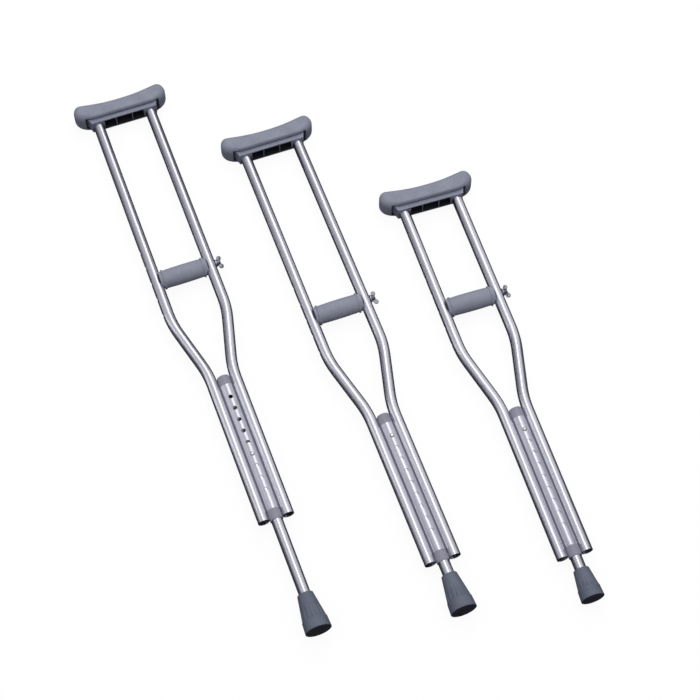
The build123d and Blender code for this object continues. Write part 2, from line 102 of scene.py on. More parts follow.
places = {name: crutch_frame(name) for name in CRUTCHES}
for name in CRUTCHES:
    low, high = own_box(f"{name}_underarm_pad", places[name])
    print(name, "pad in its own frame, mm:", [round(v / MM, 1) for v in (*low, *high)])

# %% [markdown]
# ## The camera
# It looks down on the crutches from beside their feet with a long lens, which keeps the tubes almost
# parallel. It comes first, because the detail that each piece needs depends on how near it is.

# %% Camera
SENSOR_WIDTH = 36.0
LENS = 91.8
CAMERA_DISTANCE = 3.438
CAMERA_TILT = (28.565, 0.110, -20.067)  # degrees
CAMERA_TARGET = Vector((-0.00794, -0.04981, 0.025))

lens = bpy.data.cameras.new("studio_camera")
lens.lens = LENS
lens.sensor_width = SENSOR_WIDTH
lens.clip_end = 50.0
camera = bpy.data.objects.new("studio_camera", lens)
bpy.context.scene.collection.objects.link(camera)
tilt = Euler([math.radians(angle) for angle in CAMERA_TILT])
camera.rotation_euler = tilt
camera.location = CAMERA_TARGET + tilt.to_matrix() @ Vector((0, 0, CAMERA_DISTANCE))
bpy.context.scene.camera = camera
print("camera at", [round(v, 3) for v in camera.location])

# %% [markdown]
# ## Nodes and colours
# Colours are written as the hex values that a screen shows, and one function turns them to the
# linear values that Cycles works in. Another adds one node with its settings and its links.


# %% Helpers for materials
def linear(hex_colour):
    """Linear RGBA of an sRGB hex colour."""
    channels = [int(hex_colour[i:i + 2], 16) / 255 for i in (1, 3, 5)]
    return [c / 12.92 if c <= 0.04045 else ((c + 0.055) / 1.055) ** 2.4 for c in channels] + [1.0]


def add_node(owner, kind, settings=None, inputs=None):
    """Adds a node to a material or a world. A socket as input is linked, any other value is set."""
    tree = owner.node_tree
    node = tree.nodes.new(kind)
    for key, value in (settings or {}).items():
        setattr(node, key, value)
    for key, value in (inputs or {}).items():
        if isinstance(value, bpy.types.NodeSocket):
            tree.links.new(value, node.inputs[key])
        else:
            node.inputs[key].default_value = value
    return node


def new_material(name, **surface):
    """A material with one Principled shader, its uniform values set on the shader's own sockets."""
    material = bpy.data.materials.new(name)
    material.use_nodes = True
    shader = material.node_tree.nodes["Principled BSDF"]
    for key, value in surface.items():
        shader.inputs[key.replace("_", " ")].default_value = value
    return material, shader


def link(owner, output, node, socket):
    """Links an output to a socket of a node that is already there."""
    owner.node_tree.links.new(output, node.inputs[socket])


print("screen grey #808080 is", round(linear("#808080")[0], 3), "in linear light")


# %% [markdown]
# ## Satin anodised aluminium
# The tubes are drawn through a die, etched and anodised. Drawing leaves hairline streaks along the
# tube, so the noise that drives colour, roughness and bump is stretched a hundredfold along Y. Etching
# gives the eye a soft highlight instead of a mirror's. The real streaks are a few hundredths of a
# millimetre wide. Here they are drawn 1.2 mm wide, so that they show.

# %% Aluminium
STREAK_WIDTH = 1.2 * MM
STREAK_LENGTH = 140 * MM


def anodised_aluminium(name, hex_light, hex_dark, rough_low, rough_high):
    """Drawn or extruded aluminium with streaks along the crutch."""
    material, shader = new_material(name, Metallic=1.0)
    where = add_node(material, "ShaderNodeTexCoord")
    stretched = add_node(
        material,
        "ShaderNodeMapping",
        inputs={
            "Vector": where.outputs["Object"],
            "Scale": (1 / STREAK_WIDTH, 1 / STREAK_LENGTH, 1 / STREAK_WIDTH),
        },
    )
    streaks = add_node(
        material,
        "ShaderNodeTexNoise",
        inputs={
            "Vector": stretched.outputs["Vector"],
            "Scale": 1.0,
            "Detail": 3.0,
            "Roughness": 0.6,
        },
    )
    tone = add_node(
        material,
        "ShaderNodeMix",
        {"data_type": "RGBA"},
        {"Factor": streaks.outputs["Fac"], "A": linear(hex_dark), "B": linear(hex_light)},
    )
    rough = add_node(
        material,
        "ShaderNodeMapRange",
        inputs={
            "Value": streaks.outputs["Fac"],
            "From Min": 0.3,
            "From Max": 0.7,
            "To Min": rough_low,
            "To Max": rough_high,
        },
    )
    bump = add_node(
        material,
        "ShaderNodeBump",
        inputs={"Height": streaks.outputs["Fac"], "Strength": 0.15, "Distance": 0.02 * MM},
    )
    link(material, tone.outputs["Result"], shader, "Base Color")
    link(material, rough.outputs["Result"], shader, "Roughness")
    link(material, bump.outputs["Normal"], shader, "Normal")
    return material


# The uprights are drawn and polished. The extrusion keeps more of its die's lines and is a little
# duller. The leg is rubbed bright by sliding in its tube.
tube_aluminium = anodised_aluminium("satin_drawn_aluminium", "#F2F2F7", "#D4D4DC", 0.20, 0.34)
extruded_aluminium = anodised_aluminium("satin_extruded_aluminium", "#EDEDF3", "#CDCDD6", 0.26, 0.40)
leg_aluminium = anodised_aluminium("satin_leg_aluminium", "#F0F0F5", "#D2D2DA", 0.18, 0.30)
print("aluminium materials:", tube_aluminium.name, extruded_aluminium.name, leg_aluminium.name)

# %% [markdown]
# ## Bright steel
# The washer, bolt and screws are zinc plated, and the wing nut is nickel plated. Plate is smoother than
# anodising and a little darker, with a faint cloudiness from handling. The nickel is drawn a dark grey
# all over, a painted shade for the dark rims of the nut's ears. The snap button is turned and left
# bright, and its leaf spring is strip blued by heat.


# %% Steel
HANDLING_CLOUD = 4 * MM  # as wide as the marks that a finger leaves on a small part


def bright_steel(name, hex_colour, rough_low, rough_high):
    """Steel with a faint cloudiness in its shine."""
    material, shader = new_material(name, Metallic=1.0)
    shader.inputs["Base Color"].default_value = linear(hex_colour)
    where = add_node(material, "ShaderNodeTexCoord")
    cloud = add_node(
        material,
        "ShaderNodeTexNoise",
        inputs={"Vector": where.outputs["Object"], "Scale": 1 / HANDLING_CLOUD, "Detail": 2.0},
    )
    rough = add_node(
        material,
        "ShaderNodeMapRange",
        inputs={"Value": cloud.outputs["Fac"], "To Min": rough_low, "To Max": rough_high},
    )
    link(material, rough.outputs["Result"], shader, "Roughness")
    return material


zinc_plate = bright_steel("bright_zinc_plated_steel", "#C9CACE", 0.20, 0.40)
# The nickel's dark grey is painted shade for the dark rims of the nut's ears.
nickel_painted_shade = bright_steel("nickel_steel_painted_shade", "#7E7E87", 0.14, 0.26)
turned_steel = bright_steel("turned_button_steel", "#D0D1D6", 0.18, 0.32)
blued_strip = bright_steel("blued_spring_steel", "#5A5E68", 0.25, 0.40)
print("steels:", zinc_plate.name, nickel_painted_shade.name, turned_steel.name, blued_strip.name)

# %% [markdown]
# ## Foam, rubber and plastic
# All three are dielectrics. Moulded foam is matt, with a skin of fine pits where its cells break the
# surface. Tip rubber is denser and has a slight shine. Moulded plastic shows the spark-eroded grain
# of its mould. One function makes them, and each keeps its own IOR, roughness and grain size. Real
# pits and mould grain are 0.1 to 0.4 mm wide. Here they are drawn about 1 mm wide, so that they show.


# %% Moulded materials
POLYMER_CLOUD = 25 * MM  # how far apart light and dark patches of the pigment lie


def moulded(name, hex_light, hex_dark, ior, rough_low, rough_high, grain, depth):
    """Moulded polymer: a broad cloudiness in its colour and a fine grain in its surface."""
    material, shader = new_material(name, IOR=ior)
    where = add_node(material, "ShaderNodeTexCoord")
    broad = add_node(
        material,
        "ShaderNodeTexNoise",
        inputs={
            "Vector": where.outputs["Object"],
            "Scale": 1 / POLYMER_CLOUD,
            "Detail": 4.0,
            "Roughness": 0.6,
        },
    )
    fine = add_node(
        material,
        "ShaderNodeTexNoise",
        inputs={
            "Vector": where.outputs["Object"],
            "Scale": 1 / grain,
            "Detail": 2.0,
            "Roughness": 0.5,
        },
    )
    speck = add_node(
        material,
        "ShaderNodeMath",
        {"operation": "MULTIPLY_ADD"},
        {0: fine.outputs["Fac"], 1: 0.5, 2: broad.outputs["Fac"]},
    )
    tone = add_node(
        material,
        "ShaderNodeMapRange",
        inputs={"Value": speck.outputs["Value"], "From Min": 0.45, "From Max": 1.05},
    )
    colour = add_node(
        material,
        "ShaderNodeMix",
        {"data_type": "RGBA"},
        {"Factor": tone.outputs["Result"], "A": linear(hex_dark), "B": linear(hex_light)},
    )
    rough = add_node(
        material,
        "ShaderNodeMapRange",
        inputs={"Value": fine.outputs["Fac"], "To Min": rough_low, "To Max": rough_high},
    )
    bump = add_node(
        material,
        "ShaderNodeBump",
        inputs={"Height": fine.outputs["Fac"], "Strength": 0.6, "Distance": depth},
    )
    link(material, colour.outputs["Result"], shader, "Base Color")
    link(material, rough.outputs["Result"], shader, "Roughness")
    link(material, bump.outputs["Normal"], shader, "Normal")
    return material


print("pigment patches:", round(POLYMER_CLOUD / MM), "mm")

# %% Foams
# Closed-cell foam with a moulded skin: soft, matt and a cool mid grey. Inside the saddle's slot the
# foam is drawn much darker, a painted shade for the narrow gap round the saddle.
pad_foam = moulded(
    "moulded_pad_foam", "#B4B8C3", "#9EA3AF", 1.45, 0.60, 0.80, grain=1.3 * MM, depth=0.15 * MM
)
grip_foam = moulded(
    "moulded_grip_foam", "#BDC0CB", "#A6AAB6", 1.45, 0.60, 0.80, grain=1.2 * MM, depth=0.15 * MM
)
# Much darker foam for the inside of the saddle's slot: painted shade, not the foam's own colour.
shaded_slot_foam = moulded(
    "slot_foam_painted_shade", "#4A4E58", "#383C46", 1.45, 0.80, 0.95, grain=1.3 * MM, depth=0.15 * MM
)
print("foams:", pad_foam.name, grip_foam.name, shaded_slot_foam.name)

# %% Rubbers
# Compression-moulded rubber: smooth with a dull shine on the sides, and a darker, harder tread.
tip_rubber = moulded(
    "moulded_tip_rubber", "#838A97", "#707886", 1.52, 0.45, 0.62, grain=1.5 * MM, depth=0.08 * MM
)
tread_rubber = moulded(
    "darker_tread_rubber", "#4C4D52", "#38393E", 1.52, 0.55, 0.75, grain=1.0 * MM, depth=0.15 * MM
)
print("rubbers:", tip_rubber.name, tread_rubber.name)

# %% Plastics
# Injection-moulded plastic: a finer grain than foam and a tighter shine. The saddle's cells get a near
# black plastic, a painted shade for their depth, and the handgrip's core is a dark nylon tube.
saddle_plastic = moulded(
    "moulded_grey_polypropylene", "#A9AEBC", "#999EAC", 1.49, 0.38, 0.52, 0.9 * MM, 0.04 * MM
)
cap_plastic = moulded(
    "moulded_grey_abs", "#B6B6C1", "#A4A4B0", 1.54, 0.36, 0.50, 0.9 * MM, 0.04 * MM
)
# Near black for the saddle's cells: painted shade for their depth, not the plastic's own colour.
cell_plastic_painted_shade = moulded(
    "cell_polypropylene_painted_shade", "#34363C", "#26282D", 1.49, 0.60, 0.75, 0.9 * MM, 0.04 * MM
)
core_plastic = moulded(
    "moulded_dark_nylon", "#4A4C53", "#3E4046", 1.53, 0.40, 0.55, 0.9 * MM, 0.04 * MM
)
print("plastics:", saddle_plastic.name, cap_plastic.name, cell_plastic_painted_shade.name, core_plastic.name)

# %% [markdown]
# ## Finishes on the CAD pieces
# The rigid pieces keep their CAD shape, so each only gets its finish. They could be modelled again
# here, but their holes, hollows and bends are already exact. A piece's name after the crutch's name
# says what it is.

# %% Dress the CAD pieces
FINISHES = {
    "saddle": saddle_plastic,
    "saddle_screws": zinc_plate,
    "upright_left": tube_aluminium,
    "upright_right": tube_aluminium,
    "grip_core": core_plastic,
    "grip_bolt": zinc_plate,
    "grip_washer": zinc_plate,
    "wing_nut": nickel_painted_shade,
    "centre_extrusion": extruded_aluminium,
    "frame_rivets": leg_aluminium,
    "top_cap": cap_plastic,
    "bottom_collar": cap_plastic,
    "leg": leg_aluminium,
    "snap_button": turned_steel,
    "button_spring": blued_strip,
    "tip_disc": zinc_plate,
}
for name in CRUTCHES:
    for part, finish in FINISHES.items():
        for material_slot in frame["nodes"][f"{name}_{part}"].material_slots:
            material_slot.material = finish
print("dressed", len(CRUTCHES) * len(FINISHES), "CAD pieces")

# %% [markdown]
# ## The extrusion's webs, in painted shade
# The webs lie in the narrow valleys between the tubes. No hand or polishing mop reaches them, so they
# keep the die's fine lines and stay dull. Their metal is also drawn a much darker grey, a painted shade
# for the deep valleys. A mask in the shared metal could do it, but the webs are flat faces at one
# height, so it is simpler to give those faces a darker, duller metal of their own.

# %% Webs
WEB_TOP = 5.5 * MM  # how far the webs' faces lie from the crutch's middle plane
WEB_TOLERANCE = 0.1 * MM
FLAT = 0.999  # cosine above which a face counts as facing straight out
# The webs' dark grey is painted shade for the valleys between the tubes; their roughness is the die's dull
# finish.
shaded_web_metal = anodised_aluminium("valley_web_painted_shade", "#8A8A96", "#5E5E6A", 0.50, 0.65)
for name in CRUTCHES:
    inward = places[name].inverted()
    mesh = frame["nodes"][f"{name}_centre_extrusion"].data
    mesh.materials.append(shaded_web_metal)
    dull = 0
    for face in mesh.polygons:
        height = (inward @ face.center).z
        normal = inward.to_3x3() @ face.normal
        if abs(normal.z) > FLAT and abs(abs(height) - WEB_TOP) < WEB_TOLERANCE:
            face.material_index = len(mesh.materials) - 1
            dull += 1
    print(name, "web faces:", dull)

# %% [markdown]
# ## Painted shade in the saddle's cells
# The cells under the saddle are shaped by the mould's cores and left rough. Their walls and roofs get a
# near black plastic, a painted shade for the cells' depth, and only the lower edges of the ribs between
# them keep the saddle's grey.

# %% Saddle cells
CELL_HALF_WIDTH = 12.3 * MM
CELL_HALF_LENGTH = 42.2 * MM
GREY_EDGE = 1 * MM  # height of the ribs' and walls' lower edges, which stay grey
for name in CRUTCHES:
    inward = places[name].inverted()
    low, _ = own_box(f"{name}_saddle", places[name])
    mesh = frame["nodes"][f"{name}_saddle"].data
    # The cells' walls and roofs take the near black painted shade.
    mesh.materials.append(cell_plastic_painted_shade)
    dark = 0
    for face in mesh.polygons:
        corners = [inward @ mesh.vertices[i].co for i in face.vertices]
        inside = all(
            abs(corner.z) < CELL_HALF_WIDTH and abs(corner.x) < CELL_HALF_LENGTH
            for corner in corners
        )
        height = sum(corner.y for corner in corners) / len(corners)
        if inside and height > low.y + GREY_EDGE:
            face.material_index = len(mesh.materials) - 1
            dark += 1
    print(name, "cell faces:", dark)

# %% [markdown]
# ## Wing nuts
# A plated pressing has no sharp edge. The nut's edges are rounded over by a little more than half a
# millimetre, so the raised rims of its ears catch a line of light and stay dark at their sides. A
# bevel modifier does it on the CAD shape, once the points that its faces share are joined.


# %% Helpers for meshes
WELD_DISTANCE = 0.002 * MM


def weld(mesh):
    """Joins the points that the CAD mesh holds once for each face."""
    skin = bmesh.new()
    skin.from_mesh(mesh)
    bmesh.ops.remove_doubles(skin, verts=skin.verts, dist=WELD_DISTANCE)
    skin.to_mesh(mesh)
    skin.free()


def apply_modifier(piece, name, kind, **settings):
    """Adds a modifier, bakes its result into the mesh and removes it."""
    modifier = piece.modifiers.new(name, kind)
    for key, value in settings.items():
        setattr(modifier, key, value)
    bpy.context.view_layer.update()
    evaluated = piece.evaluated_get(bpy.context.evaluated_depsgraph_get())
    result = bpy.data.meshes.new_from_object(evaluated)
    piece.modifiers.clear()
    old = piece.data
    piece.data = result
    bpy.data.meshes.remove(old)


def new_object(name, mesh):
    """An object with a mesh, put in the scene."""
    piece = bpy.data.objects.new(name, mesh)
    bpy.context.scene.collection.objects.link(piece)
    return piece


print("welding points nearer than", WELD_DISTANCE / MM, "mm")

# %% Wing nuts
EDGE_ROUNDING = 0.6 * MM
SHARP_FROM = math.radians(40)

for name in CRUTCHES:
    nut_mesh = frame["nodes"][f"{name}_wing_nut"].data.copy()
    rounded = new_object(f"{name}_rounded_wing_nut", nut_mesh)
    weld(rounded.data)
    apply_modifier(
        rounded,
        "rounding",
        "BEVEL",
        width=EDGE_ROUNDING,
        segments=3,
        limit_method="ANGLE",
        angle_limit=SHARP_FROM,
    )
    rounded.data.materials.clear()
    rounded.data.materials.append(nickel_painted_shade)
    rounded.data.shade_smooth()
    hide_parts(f"{name}_wing_nut")
    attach(rounded, f"{name}_wing_nut")
    print(name, "wing nut faces:", len(rounded.data.polygons))

# %% [markdown]
# ## Skins over rings
# The grip and the tip are round pieces with small departures from round: a hollowed end, a flute.
# A spun outline couldn't hold those. A skin over a row of rings can, because each ring's points are
# moved before they are joined.


# %% Ring skins
AROUND = 144  # points in a ring


def ring_skin(name, rings, closed=False):
    """A mesh over a row of rings. A ring of one point closes an end.

    closed also joins the last ring to the first.
    """
    shell = bmesh.new()
    loops = [[shell.verts.new(point) for point in ring] for ring in rings]
    pairs = list(zip(loops, loops[1:]))
    if closed:
        pairs.append((loops[-1], loops[0]))
    for first, second in pairs:
        count = max(len(first), len(second))
        for i in range(count):
            j = (i + 1) % count
            corners = [
                first[i % len(first)],
                first[j % len(first)],
                second[j % len(second)],
                second[i % len(second)],
            ]
            shell.faces.new(list(dict.fromkeys(corners)))
    bmesh.ops.recalc_face_normals(shell, faces=shell.faces)
    mesh = bpy.data.meshes.new(name)
    shell.to_mesh(mesh)
    shell.free()
    mesh.shade_smooth()
    return mesh


def place_piece(name, mesh, crutch, body, node, slot_name, *materials):
    """Puts a soft piece in its crutch's frame, in place of its CAD node."""
    piece = new_object(name, mesh)
    piece.matrix_world = places[crutch]
    for material in materials:
        mesh.materials.append(material)
    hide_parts(f"{crutch}_{node}")
    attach(piece, f"{crutch}_{body}")
    return piece


print("rings of", AROUND, "points")

# %% [markdown]
# ## Handgrips
# A moulded foam sleeve: a slight barrel with fine ribs round it, a raised bead near each end, and a
# neck that presses against the tubes. The ribs repeat, so a formula gives the radius at each place
# along the grip, which a drawn outline would need hundreds of points for.

# %% Handgrip outline
RIB_PITCH = 1.9 * MM
RIB_DEPTH = 0.28 * MM
BARREL_END_X = 37.6 * MM
BARREL_END_RADIUS = 18.3 * MM
BARREL_MIDDLE_RADIUS = 19.0 * MM
BARREL_STEPS = 160
BEAD_X = 40.5 * MM
BEAD_HALF_WIDTH = 2.0 * MM
BEAD_RADIUS = 20.3 * MM
BEAD_STEPS = 8
BEAD_FULLNESS = 0.8  # a power under 1 gives the bead a flatter crown
NECK_RADIUS = 17.5 * MM
GRIP_END_X = 48.5 * MM
NECK = (  # place along the grip, and how much the neck's radius is rounded off there
    (44.5 * MM, 0.0),
    (47.0 * MM, 0.0),
    (48.0 * MM, 0.2 * MM),
    (GRIP_END_X, 0.8 * MM),
)


def grip_profile():
    """(x, radius) pairs from the middle of the grip to its right end."""
    profile = []
    for i in range(BARREL_STEPS + 1):
        x = BARREL_END_X * i / BARREL_STEPS
        share = x / BARREL_END_X
        radius = BARREL_MIDDLE_RADIUS + (BARREL_END_RADIUS - BARREL_MIDDLE_RADIUS) * share ** 2
        rib = 0.5 - 0.5 * math.cos(2 * math.pi * x / RIB_PITCH)
        profile.append((x, radius - RIB_DEPTH * rib))
    for i in range(BEAD_STEPS + 1):
        angle = math.pi * i / BEAD_STEPS
        x = BEAD_X - BEAD_HALF_WIDTH * math.cos(angle)
        base = BARREL_END_RADIUS if x < BEAD_X else NECK_RADIUS
        profile.append((x, base + (BEAD_RADIUS - base) * math.sin(angle) ** BEAD_FULLNESS))
    return profile + [(x, NECK_RADIUS - rounding) for x, rounding in NECK]


right_half = grip_profile()
print("half a grip has", len(right_half), "rings")

# %% [markdown]
# ## The grip's hollowed ends
# The ends of the foam are cut to the tubes' curve. A boolean with each tube would do it, but every
# ring's points are at hand, so those that a tube would cover are pulled back along the grip.

# %% Handgrip rings
CORE_RADIUS = 13.05 * MM
BORE_STATIONS = (48.0, 30.0, 10.0, -10.0, -30.0, -48.0)  # mm along the grip, right to left
TUBE_AXIS_X = 55.7 * MM
TUBE_SEAT_RADIUS = 11.4 * MM
RING_SPACING = 0.05  # share of their spacing that pulled-back rings keep, so that none cross


def seat_limit(z):
    """How far along X the foam may reach at height z before it meets the tube."""
    if abs(z) >= TUBE_SEAT_RADIUS:
        return GRIP_END_X
    return min(GRIP_END_X, TUBE_AXIS_X - math.sqrt(TUBE_SEAT_RADIUS ** 2 - z ** 2))


def grip_ring(x, radius):
    """One ring round the grip, pulled back where a tube is in its way."""
    ring = []
    for i in range(AROUND):
        angle = 2 * math.pi * i / AROUND
        y, z = radius * math.cos(angle), radius * math.sin(angle)
        reach = min(abs(x), seat_limit(z) - (GRIP_END_X - abs(x)) * RING_SPACING)
        ring.append((math.copysign(reach, x), y, z))
    return ring


outside = [(-x, radius) for x, radius in reversed(right_half[1:])] + right_half
bore = [(x * MM, CORE_RADIUS) for x in BORE_STATIONS]
grip_rings = [grip_ring(x, radius) for x, radius in outside + bore]
grip_mesh = ring_skin("handgrip", grip_rings, closed=True)
for name in CRUTCHES:
    grip = place_piece(
        f"{name}_foam_grip", grip_mesh.copy(), name, "frame", "handgrip", "grip_foam", grip_foam
    )
print("grip faces:", len(grip_mesh.polygons))

# %% [markdown]
# ## Rubber tips
# A flared foot: a band at the ground, a small shoulder, and a cone up to the leg. The tread in the
# sole has rings that grip the ground and is drawn in a darker rubber than the sides. The outline is a
# row of heights and radii, built from the sole up in four short stretches.

# %% Tip outline
SOLE_THICKNESS = 16.0 * MM
TREAD_INSET = 2.2 * MM
TREAD_GROOVES = 4
TREAD_RELIEF = 0.5  # mm
GROOVE_SHAPE = (  # share of a ring's width, and height in mm
    (0.15, TREAD_RELIEF),
    (0.25, 0.0),
    (0.85, 0.0),
    (0.97, TREAD_RELIEF),
)
BAND_HEIGHT = 21.0 * MM
BAND_TAPER = 1.2 * MM
BAND_STEPS = 5
SHOULDER_STEP = 0.8 * MM
CONE_STEPS = 26
MOUTH_RADIUS = 15.0 * MM
MOUTH_ROUNDING = 0.8 * MM
LEG_SOCKET_RADIUS = 11.15 * MM


def sole_stations(base_radius):
    """(height, radius) pairs from the middle of the sole to the foot's widest edge.

    The last few take the edge round by a few tenths of a millimetre.
    """
    tread_radius = base_radius - TREAD_INSET
    groove = tread_radius / TREAD_GROOVES
    stations = [(TREAD_RELIEF * MM, 0.0)]
    for i in range(TREAD_GROOVES):
        for share, height in GROOVE_SHAPE:
            stations.append((height * MM, groove * (i + share)))
    return stations + [
        (0.0, tread_radius + 0.4 * MM),
        (0.0, base_radius - 0.6 * MM),
        (0.2 * MM, base_radius - 0.15 * MM),
        (0.7 * MM, base_radius),
    ]


def band_stations(base_radius):
    """The tapered band above the sole, up to its small rounding at the shoulder."""
    stations = []
    for i in range(1, BAND_STEPS + 1):
        share = i / BAND_STEPS
        stations.append((BAND_HEIGHT * share, base_radius - BAND_TAPER * share))
    stations.append((BAND_HEIGHT + 0.4 * MM, base_radius - BAND_TAPER - 0.3 * MM))
    return stations


def cone_stations(length, base_radius):
    """The fluted cone, from the shoulder to the rounding of the mouth."""
    low = BAND_HEIGHT + SHOULDER_STEP
    low_radius = base_radius - BAND_TAPER - SHOULDER_STEP
    stations = []
    for i in range(CONE_STEPS + 1):
        share = i / CONE_STEPS
        height = low + (length - MOUTH_ROUNDING - low) * share
        stations.append((height, low_radius + (MOUTH_RADIUS - low_radius) * share))
    return stations


def socket_stations(length):
    """Over the rounded mouth and down the socket that holds the leg."""
    return [
        (length - 0.2 * MM, MOUTH_RADIUS - 0.3 * MM),
        (length, MOUTH_RADIUS - 1.0 * MM),
        (length, LEG_SOCKET_RADIUS + 0.6 * MM),
        (length - 0.6 * MM, LEG_SOCKET_RADIUS),
        (SOLE_THICKNESS + 1 * MM, LEG_SOCKET_RADIUS),
        (SOLE_THICKNESS, LEG_SOCKET_RADIUS - 0.3 * MM),
        (SOLE_THICKNESS, 0.0),
    ]


print("tread rings:", TREAD_GROOVES, "of", TREAD_RELIEF, "mm")

# %% [markdown]
# ## The tips' flutes
# Flutes cut into the cone run out at mid height and end in scallops at the shoulder. They need no
# cutting tool: a ring's points move inwards by a cosine of their angle, less and less up the cone.

# %% Rubber tips
FLUTE_COUNT = 14
FLUTE_DEPTH = 1.5 * MM
FLUTE_TOP_SHARE = 0.62  # of the cone's height, where the flutes have run out
FLUTE_FADE = 0.8  # a power under 1 keeps a flute deep for longer
FLUTE_SHARPNESS = 1.5  # a power over 1 makes the flutes narrower than the ridges
TREAD_HEIGHT = 0.6 * MM
TREAD_EDGE = 0.3 * MM


def flute(angle, share):
    """How deep the cone is cut at an angle, for a share of the cone's height above the shoulder."""
    run_out = max(0.0, 1 - share / FLUTE_TOP_SHARE)
    wave = max(0.0, math.cos(FLUTE_COUNT * angle))
    return FLUTE_DEPTH * run_out ** FLUTE_FADE * wave ** FLUTE_SHARPNESS


def tip_rings(length, base_radius):
    """Rings of a tip, from the middle of its sole up the outside and down into its socket."""
    foot = sole_stations(base_radius) + band_stations(base_radius)
    stations = foot + cone_stations(length, base_radius) + socket_stations(length)
    around = AROUND * 2
    rings = []
    for index, (height, radius) in enumerate(stations):
        if radius == 0.0:
            rings.append([(0.0, height, 0.0)])
            continue
        share = (index - len(foot)) / CONE_STEPS
        ring = []
        for i in range(around):
            angle = 2 * math.pi * i / around
            cut = flute(angle, share) if 0 <= share <= 1 else 0.0
            left = radius - cut
            ring.append((left * math.cos(angle), height, left * math.sin(angle)))
        rings.append(ring)
    return rings


for name in CRUTCHES:
    low, high = own_box(f"{name}_tip", places[name])
    length = high.y - low.y
    base_radius = (high.x - low.x) / 2
    tip_mesh = ring_skin(f"{name}_tip", tip_rings(length, base_radius))
    tread_radius = base_radius - TREAD_INSET + TREAD_EDGE
    for face in tip_mesh.polygons:
        from_axis = math.hypot(face.center.x, face.center.z)
        if face.center.y < TREAD_HEIGHT and from_axis < tread_radius:
            face.material_index = 1
    tip_mesh.transform(Matrix.Translation((0, low.y, 0)))
    place_piece(
        f"{name}_rubber_tip", tip_mesh, name, "leg", "tip", "tip_rubber", tip_rubber, tread_rubber
    )
    print(name, "tip:", round(length / MM, 1), "mm long,", len(tip_mesh.polygons), "faces")

# %% [markdown]
# ## Underarm pads
# A moulded foam pad with a dipped top and plump rounded ends. It isn't a sewn cushion, so there is no
# cloth to simulate. Its outline is one smooth curve through a few points, mirrored about the middle.

# %% Pad outline
PAD_OUTLINE = (  # right half in mm, heights above the saddle's lower edge
    (0.0, 8.2),
    (40.0, 8.2),
    (64.0, 8.4),
    (75.0, 10.2),
    (83.0, 12.6),
    (91.5, 18.8),
    (96.6, 27.2),
    (97.6, 36.0),
    (93.5, 46.5),
    (85.0, 51.6),
    (74.0, 50.6),
    (55.0, 47.4),
    (30.0, 44.4),
    (0.0, 43.4),
)


def smooth_outline(points, steps=6):
    """A closed Catmull-Rom curve through the points."""
    count = len(points)
    curve = []
    for i in range(count):
        a, b, c, d = (Vector(points[(i + k) % count]) for k in (-1, 0, 1, 2))
        linear_part = c - a
        square_part = 2 * a - 5 * b + 4 * c - d
        cubic_part = 3 * b - a - 3 * c + d
        for step in range(steps):
            t = step / steps
            curve.append(0.5 * (2 * b + linear_part * t + square_part * t ** 2 + cubic_part * t ** 3))
    return curve


right = [Vector((x * MM, y * MM)) for x, y in PAD_OUTLINE]
left = [Vector((-point.x, point.y)) for point in reversed(right[1:-1])]
pad_outline = smooth_outline(right + left)
print("pad outline:", len(pad_outline), "points")

# %% [markdown]
# ## The pillow
# The pad is plumpest in its middle plane and rolls in towards its front and back faces. Rings of the
# outline, each set in a little more, make that roll. It is full on top and at the ends, which an arm
# touches, and slight below, where the foam sits on the saddle.

# %% Pillow
PAD_HALF_DEPTH = 24.6 * MM
PAD_ROLL = 15.0 * MM
PAD_LEVELS = 40
ROLL_LOW = 8 * MM  # height where the roll starts to grow, and over what height it grows
ROLL_RISE = 26 * MM
LOBE_START = 62 * MM  # the same along the pad, for its rounded ends
LOBE_RUN = 22 * MM
LEAST_ROLL = 0.25
EXTRA_ROLL = 0.65
LOBE_ROLL = 0.9
PAD_MIDDLE = Vector((0, 27 * MM))
FACE_CROWN = 0.35 * MM
MIDDLE_CROWN = 0.3 * MM
FACE_SHARES = (0.12, 0.35, 0.65)  # from the face's rim to its middle


def rolled_share(point):
    """How much of the roll the outline takes at a point."""
    upper = min(1.0, max(0.0, (point.y - ROLL_LOW) / ROLL_RISE))
    lobe = min(1.0, max(0.0, (abs(point.x) - LOBE_START) / LOBE_RUN))
    return LEAST_ROLL + EXTRA_ROLL * max(upper, LOBE_ROLL * lobe)


def pillow_ring(outline, level):
    """The outline between the pad's back, at level -1, and its front, at level 1."""
    z = math.sin(level * math.pi / 2) * PAD_HALF_DEPTH
    beyond = max(0.0, abs(z) - (PAD_HALF_DEPTH - PAD_ROLL)) / PAD_ROLL
    roll = PAD_ROLL * (1 - math.sqrt(max(0.0, 1 - beyond ** 2)))
    ring = []
    for i, point in enumerate(outline):
        edge = (outline[(i + 1) % len(outline)] - outline[i - 1]).normalized()
        inward = Vector((-edge.y, edge.x))
        moved = point + inward * (roll * rolled_share(point))
        ring.append((moved.x, moved.y, z))
    return ring


def face_rings(rim):
    """Rings that close one face of the pillow with a slight crown, from its rim to its middle."""
    z = rim[0][2]
    rings = []
    for share in FACE_SHARES:
        crown = math.copysign(FACE_CROWN, z) * share
        ring = []
        for x, y, _ in rim:
            ring.append((x + (PAD_MIDDLE.x - x) * share, y + (PAD_MIDDLE.y - y) * share, z + crown))
        rings.append(ring)
    rings.append([(PAD_MIDDLE.x, PAD_MIDDLE.y, z + math.copysign(MIDDLE_CROWN, z))])
    return rings


sides = [pillow_ring(pad_outline, -1 + 2 * i / PAD_LEVELS) for i in range(PAD_LEVELS + 1)]
back, front = face_rings(sides[0]), face_rings(sides[-1])
pillow_mesh = ring_skin("pillow", back[::-1] + sides + front)
print("pillow rings:", len(back) + len(sides) + len(front))

